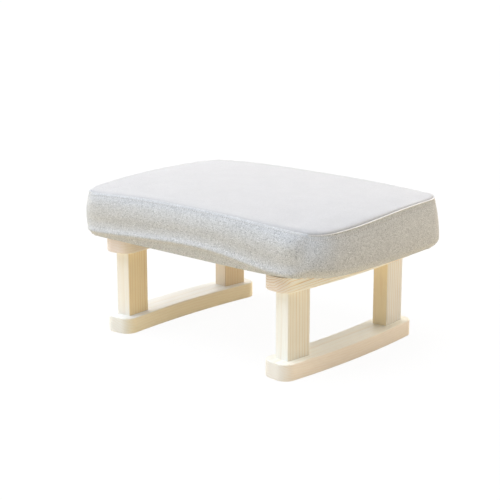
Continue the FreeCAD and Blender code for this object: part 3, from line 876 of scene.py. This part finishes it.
def pine(name, grain, pith, seed, contrast, spacing, light_tints):
    """Planed pine: growth rings round a pith line that runs along the piece, with painted light and shade
    that differ by which way each face looks.
    """
    g = Graph(name)
    body = g.object_space()
    slow = drawn_out(grain, 7, 0.8)
    from_pith = g.place(body, (1, 1, 1), tuple(-p for p in pith))
    bent = wander(g, from_pith, g.place(body, slow, (seed, seed * 0.7, seed * 1.3)), 1.6, 6 * MM)
    crowding = g.place(body, drawn_out(grain, 110, 0.6), (seed * 2.1, seed, seed * 0.4))
    ring = growth_rings(g, wander(g, bent, crowding, 1.0, 5 * MM), grain, spacing)
    middle = tuple(Vector(PINE).lerp(PINE_DARKENING, contrast))
    late = tuple(Vector(PINE).lerp(PINE_LATE, contrast))
    ringed = g.ramp(ring, [(0.0, PINE), (0.6, PINE), (0.82, middle), (0.92, late), (0.96, late), (1.0, PINE)])
    faded = g.range(g.noise(g.place(body, slow, (0, seed, 0)), 3.0, 3.0), 0.35, 0.65, 0.0, 0.7)
    normal = g.split(g.add("ShaderNodeNewGeometry", {})["Normal"])
    # painted light and shade: each face is tinted by which way it looks
    facing_lit_colour = paint_facing_light(g, normal, g.mix(faded, ringed, PINE), light_tints)
    # painted highlight: the posts' front faces are painted paler, with their rings faded out as under strong
    # light
    if grain == "Z":
        front_glare = g.maths("MULTIPLY", normal[1], normal[1])
        facing_lit_colour = g.mix(g.maths("MULTIPLY", front_glare, 0.75), facing_lit_colour, paint_facing_light(g, normal, PINE, light_tints))
    fibre = g.noise(g.place(body, drawn_out(grain, 1500, 30), (seed, 0, 0)), 1.0, 3.0, 0.6)
    fibre_tone = g.ramp(fibre, [(0.25, (0.94, 0.92, 0.89)), (0.5, (1, 1, 1)), (0.8, (1.02, 1.02, 1.02))])
    relief = g.bump(g.maths("ADD", g.maths("MULTIPLY", ring, 0.35), fibre), 0.12 * MM, 0.35)
    colour = g.mix(1.0, facing_lit_colour, fibre_tone, "MULTIPLY")
    return g.finish(colour, g.range(fibre, 0.3, 0.7, 0.42, 0.60), relief, Specular_IOR_Level=0.35)


PLY = 1.6 * MM  # thickness of one layer


def plywood(name):
    """Poplar ply: thin glued layers seen at the edge, faint grain on the faces."""
    g = Graph(name)
    body = g.object_space()
    layer = g.maths("PINGPONG", g.maths("MULTIPLY", g.split(body)[2], 1 / PLY), 1.0)
    colour = g.ramp(layer, [(0.0, (0.30, 0.19, 0.10)), (0.12, (0.62, 0.47, 0.30)), (1.0, (0.72, 0.58, 0.40))])
    grain = g.noise(g.place(body, (25, 600, 600)), 1.0, 4.0)
    shade = g.ramp(grain, [(0.3, (0.86, 0.84, 0.8)), (0.7, (1, 1, 1))])
    grained = g.mix(1.0, colour, shade, "MULTIPLY")
    return g.finish(grained, g.range(grain, 0.3, 0.7, 0.55, 0.75), g.bump(grain, 0.1 * MM, 0.4))


def hardwood(name):
    """Beech dowel: fine short flecks along the grain."""
    g = Graph(name)
    body = g.object_space()
    grain = g.noise(g.place(body, (1400, 1400, 90)), 1.0, 3.0)
    colour = g.ramp(grain, [(0.3, (0.52, 0.33, 0.19)), (0.7, (0.68, 0.48, 0.31))])
    return g.finish(colour, g.range(grain, 0.3, 0.7, 0.45, 0.65), g.bump(grain, 0.1 * MM, 0.4))


def bright_steel(name, colour, base_roughness):
    """Zinc or plain steel: brushed, slightly spangled metal."""
    g = Graph(name)
    body = g.object_space()
    spangle = g.noise(body, 900.0, 3.0)
    scratches = g.noise(g.place(body, (400, 400, 6000)), 1.0, 2.0)
    dull = tuple(0.75 * c for c in colour)
    tint = g.ramp(spangle, [(0.3, dull), (0.7, colour)])
    rough = g.range(scratches, 0.3, 0.7, base_roughness, base_roughness + 0.18)
    return g.finish(tint, rough, g.bump(scratches, 0.03 * MM, 0.3), Metallic=1.0)


def foam(name):
    """Open-cell seat foam."""
    g = Graph(name)
    inputs = {"Vector": g.object_space(), "Scale": 900}
    cells = g.add("ShaderNodeTexVoronoi", inputs, feature="F1")["Distance"]
    colour = g.ramp(cells, [(0.1, (0.55, 0.50, 0.34)), (0.6, (0.80, 0.76, 0.58))])
    return g.finish(colour, 0.95, g.bump(cells, 0.5 * MM, 0.8))


def dust_fabric(name):
    """Spun-bonded dust cover: black fibres pressed in a fine diamond pattern."""
    g = Graph(name)
    cloth = g.cloth_space()
    turned = {"Vector": cloth, "Rotation": (0, 0, math.radians(45)), "Scale": (520, 520, 1)}
    u, v = g.split(g.add("ShaderNodeMapping", turned)[0])[:2]
    spot = g.maths("MULTIPLY", g.maths("PINGPONG", u, 0.5), g.maths("PINGPONG", v, 0.5))
    fibres = g.noise(cloth, 1800.0, 4.0, 0.7)
    colour = g.ramp(fibres, [(0.3, (0.016, 0.016, 0.018)), (0.7, (0.05, 0.05, 0.054))])
    normal = g.bump(fibres, 0.15 * MM, 0.5, g.bump(g.range(spot, 0.1, 0.2), 0.2 * MM, 0.8))
    return g.finish(colour, g.range(spot, 0.05, 0.2, 0.55, 0.85), normal, Specular_IOR_Level=0.3)


def thread(name):
    """Twisted sewing thread."""
    g = Graph(name)
    body = g.object_space()
    twist = g.noise(body, 2600.0, 2.0)
    colour = g.ramp(twist, [(0.3, (0.50, 0.50, 0.50)), (0.7, (0.74, 0.74, 0.74))])
    rough = g.range(twist, 0.3, 0.7, 0.6, 0.85)
    return g.finish(colour, rough, g.bump(twist, 0.1 * MM, 0.6), Sheen_Weight=0.2)


# ---- finishes of the CAD nodes
def finish_node(node, material):
    """Gives a carried-over CAD node its material."""
    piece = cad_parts[node]
    piece.data.materials.clear()
    piece.data.materials.append(material)


# painted light and shade: how much each piece is painted lighter or darker on its right side, its front end
# and, where it is seen, its top
FACING_LIGHT_TINTS = {
    "left_foot_rail": ((1.11, 1.08, 0.93), (0.87, 0.93, 1.03), (0.95, 1.02, 1.15)),
    "left_top_rail": ((1.0, 0.95, 0.90), (0.91, 0.87, 0.93)),
    "right_foot_rail": ((1.06, 1.04, 1.06), (0.89, 0.93, 1.01), (1.11, 1.17, 1.22)),
    "right_top_rail": ((1.08, 1.12, 1.15), (0.86, 0.82, 0.83)),
    "left_front_post": ((1.07, 0.96, 0.71), (0.97, 1.00, 1.04)),
    "left_rear_post": ((0.94, 0.83, 0.66), (0.93, 0.86, 0.78)),
    "right_front_post": ((0.96, 0.98, 0.98), (0.98, 1.05, 1.15)),
    "right_rear_post": ((0.89, 0.93, 1.01), (1.08, 0.98, 0.75)),
}


def finish_wood():
    """Each rail and post is cut from its own place in the log, so its rings run differently."""
    foot_low, foot_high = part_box("right_foot_rail")
    top_low, top_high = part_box("right_top_rail")
    rail_x = (foot_low[0] + foot_high[0]) / 2
    rails = {
        "right_top_rail": ((rail_x - 10 * MM, 0, top_high[2] + 42 * MM), 1.3, 1.15, 3.0 * MM),
        "left_top_rail": ((-rail_x + 15 * MM, 0, top_high[2] + 75 * MM), 5.2, 0.30, 3.4 * MM),
        "right_foot_rail": ((rail_x - 20 * MM, 0, foot_low[2] - 60 * MM), 2.6, 0.45, 2.7 * MM),
        "left_foot_rail": ((-rail_x - 22 * MM, 0, foot_low[2] - 85 * MM), 7.9, 0.28, 3.4 * MM),
    }
    for node, (pith, seed, contrast, spacing) in rails.items():
        finish_node(node, pine("pine_" + node, "Y", pith, seed, contrast, spacing, FACING_LIGHT_TINTS[node]))
    shifts = {
        "left_front_post": (-14, 78, 3.7, 0.75),
        "left_rear_post": (16, -62, 9.1, 0.85),
        "right_front_post": (-10, 84, 6.4, 0.75),
        "right_rear_post": (12, -70, 11.8, 0.75),
    }
    for node, (shift_x, shift_y, seed, contrast) in shifts.items():
        low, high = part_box(node)
        centre = (Vector(low) + Vector(high)) / 2
        pith = (centre.x + shift_x * MM, centre.y + shift_y * MM, 0)
        finish_node(node, pine("pine_" + node, "Z", pith, seed, contrast, 4.2 * MM, FACING_LIGHT_TINTS[node]))


def finish_hardware():
    """Board, dowels and every metal fastener."""
    zinc = bright_steel("zinc_plate", (0.72, 0.73, 0.75), 0.28)
    staple = bright_steel("staple_wire", (0.60, 0.60, 0.60), 0.34)
    beech = hardwood("beech")
    finish_node("seat_board", plywood("poplar_ply"))
    for side in ("left", "right"):
        finish_node(side + "_post_dowels", beech)
        for group in ("foot_screws", "top_rail_screws", "seat_bolts", "bolt_washers", "tee_nuts"):
            finish_node(side + "_" + group, zinc)
    finish_node("cover_staples", staple)
    finish_node("dust_cover_staples", staple)


# ---- seat
def build_seat():
    """Foam, two cover panels, stitching and dust cover, in place of the plain CAD solids."""
    cushion = Cushion()
    top_shades = [(0.54, 0.54, 0.55), (0.53, 0.53, 0.54), (0.49, 0.49, 0.51), (0.57, 0.57, 0.585)]
    band_shades = [(0.555, 0.568, 0.582), (0.492, 0.508, 0.526), (0.305, 0.323, 0.341), (0.775, 0.80, 0.82)]
    top_cloth = linen("linen_top", *top_shades, 0.37)
    band_cloth = linen("linen_band", *band_shades, 4.61)
    # painted highlight on the seam's lip, and needle holes
    lip_highlight_and_needle_holes(band_cloth)

    core = foam_core(cushion, foam("seat_foam"))
    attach(core, "root")
    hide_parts("foam_pad")

    top = cover_top_panel(cushion, top_cloth)
    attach(top, "root")
    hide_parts("cover_top_panel")

    band = cover_side_band(cushion, band_cloth)
    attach(band, "root")
    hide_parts("cover_side_band")

    stitches = top_stitching(cushion, thread("sewing_thread"))
    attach(stitches, "root")

    dust = dust_sheet(dust_fabric("dust_cloth"))
    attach(dust, "root")
    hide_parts("dust_cover")


# ---- stage
FLOOR_HALF = 30.0
BOUNCE_COLOUR = (0.84, 0.73, 0.54)
CAMERA_AZIMUTH = 41.82
CAMERA_ELEVATION = 14.261
CAMERA_LENS = 96.0
CAMERA_PLACE = (1.04866, -1.18770, 0.50735)


def floor_plane(name, z, material):
    """Large level square."""
    corners = [(-1, -1), (1, -1), (1, 1), (-1, 1)]
    points = [(x * FLOOR_HALF, y * FLOOR_HALF, z) for x, y in corners]
    return mesh_object(name, points, [(0, 1, 2, 3)], material, False)


def build_floor():
    """Plain white floor, lit evenly like a light table, and the paler cloth that lights from below."""
    pale = Graph("pale_floor")
    glow = {"Emission_Color": (1, 1, 1), "Emission_Strength": 0.94}
    pale.finish((0.06, 0.06, 0.06), 0.9, Specular_IOR_Level=0.0, **glow)
    seen = floor_plane("floor", 0, pale.material)
    seen.visible_diffuse = False
    seen.visible_shadow = False
    warm = Graph("bounce")
    warm.finish(BOUNCE_COLOUR, 1.0, Specular_IOR_Level=0.0)
    bounce = floor_plane("floor_bounce", -1 * MM, warm.material)
    bounce.visible_camera = False


COOL_LIGHT = (0.88, 0.92, 0.98)
WARM_LIGHT = (1.0, 0.70, 0.36)
WORLD_STRENGTH = 0.32
LAMP_SPREAD = math.radians(50)
# where each lamp stands as seen from the bench, its strength and its colour
LAMPS = {
    "above": ((-0.15, -0.35, 0.92), 2.58, COOL_LIGHT),
    "front_left": ((-0.70, -0.60, 0.40), 0.65, COOL_LIGHT),
    "left": ((-0.95, -0.10, 0.30), 0.5, COOL_LIGHT),
    "left_low": ((-0.98, 0.10, 0.12), 0.85, (1.0, 0.93, 0.85)),
    "left_rear": ((-0.80, 0.50, 0.35), 1.55, (0.96, 0.92, 0.86)),
    "rear_low": ((0.10, 0.95, 0.30), 2.15, (1.0, 0.88, 0.72)),
    "right_rear": ((0.70, 0.60, 0.35), 0.25, WARM_LIGHT),
    "right_low": ((0.97, -0.10, 0.20), 0.12, WARM_LIGHT),
}


def add_stand(name, data, backwards):
    """Places a lamp or camera that looks the other way from a direction."""
    piece = bpy.data.objects.new(name, data)
    piece.rotation_mode = "QUATERNION"
    piece.rotation_quaternion = (-Vector(backwards)).to_track_quat("-Z", "Y")
    bpy.context.scene.collection.objects.link(piece)
    return piece


def build_lights():
    """Cool light from above and the left, warmer light from behind and the right."""
    world = bpy.data.worlds.new("surround")
    world.use_nodes = True
    background = world.node_tree.nodes["Background"]
    background.inputs["Color"].default_value = (*COOL_LIGHT, 1)
    background.inputs["Strength"].default_value = WORLD_STRENGTH
    bpy.context.scene.world = world
    for name, (direction, strength, colour) in LAMPS.items():
        lamp = bpy.data.lights.new(name, "SUN")
        lamp.energy = strength
        lamp.color = colour
        lamp.angle = LAMP_SPREAD
        add_stand(name, lamp, direction)


def build_camera():
    """Long lens from the front right, a little above the seat."""
    data = bpy.data.cameras.new("camera")
    data.lens = CAMERA_LENS
    a, e = math.radians(CAMERA_AZIMUTH), math.radians(CAMERA_ELEVATION)
    camera = add_stand("camera", data, (math.sin(a) * math.cos(e), -math.cos(a) * math.cos(e), math.sin(e)))
    camera.location = CAMERA_PLACE
    bpy.context.scene.camera = camera
    bpy.context.scene.view_settings.view_transform = "Standard"


build_camera()
build_lights()
build_floor()
finish_wood()
finish_hardware()
build_seat()
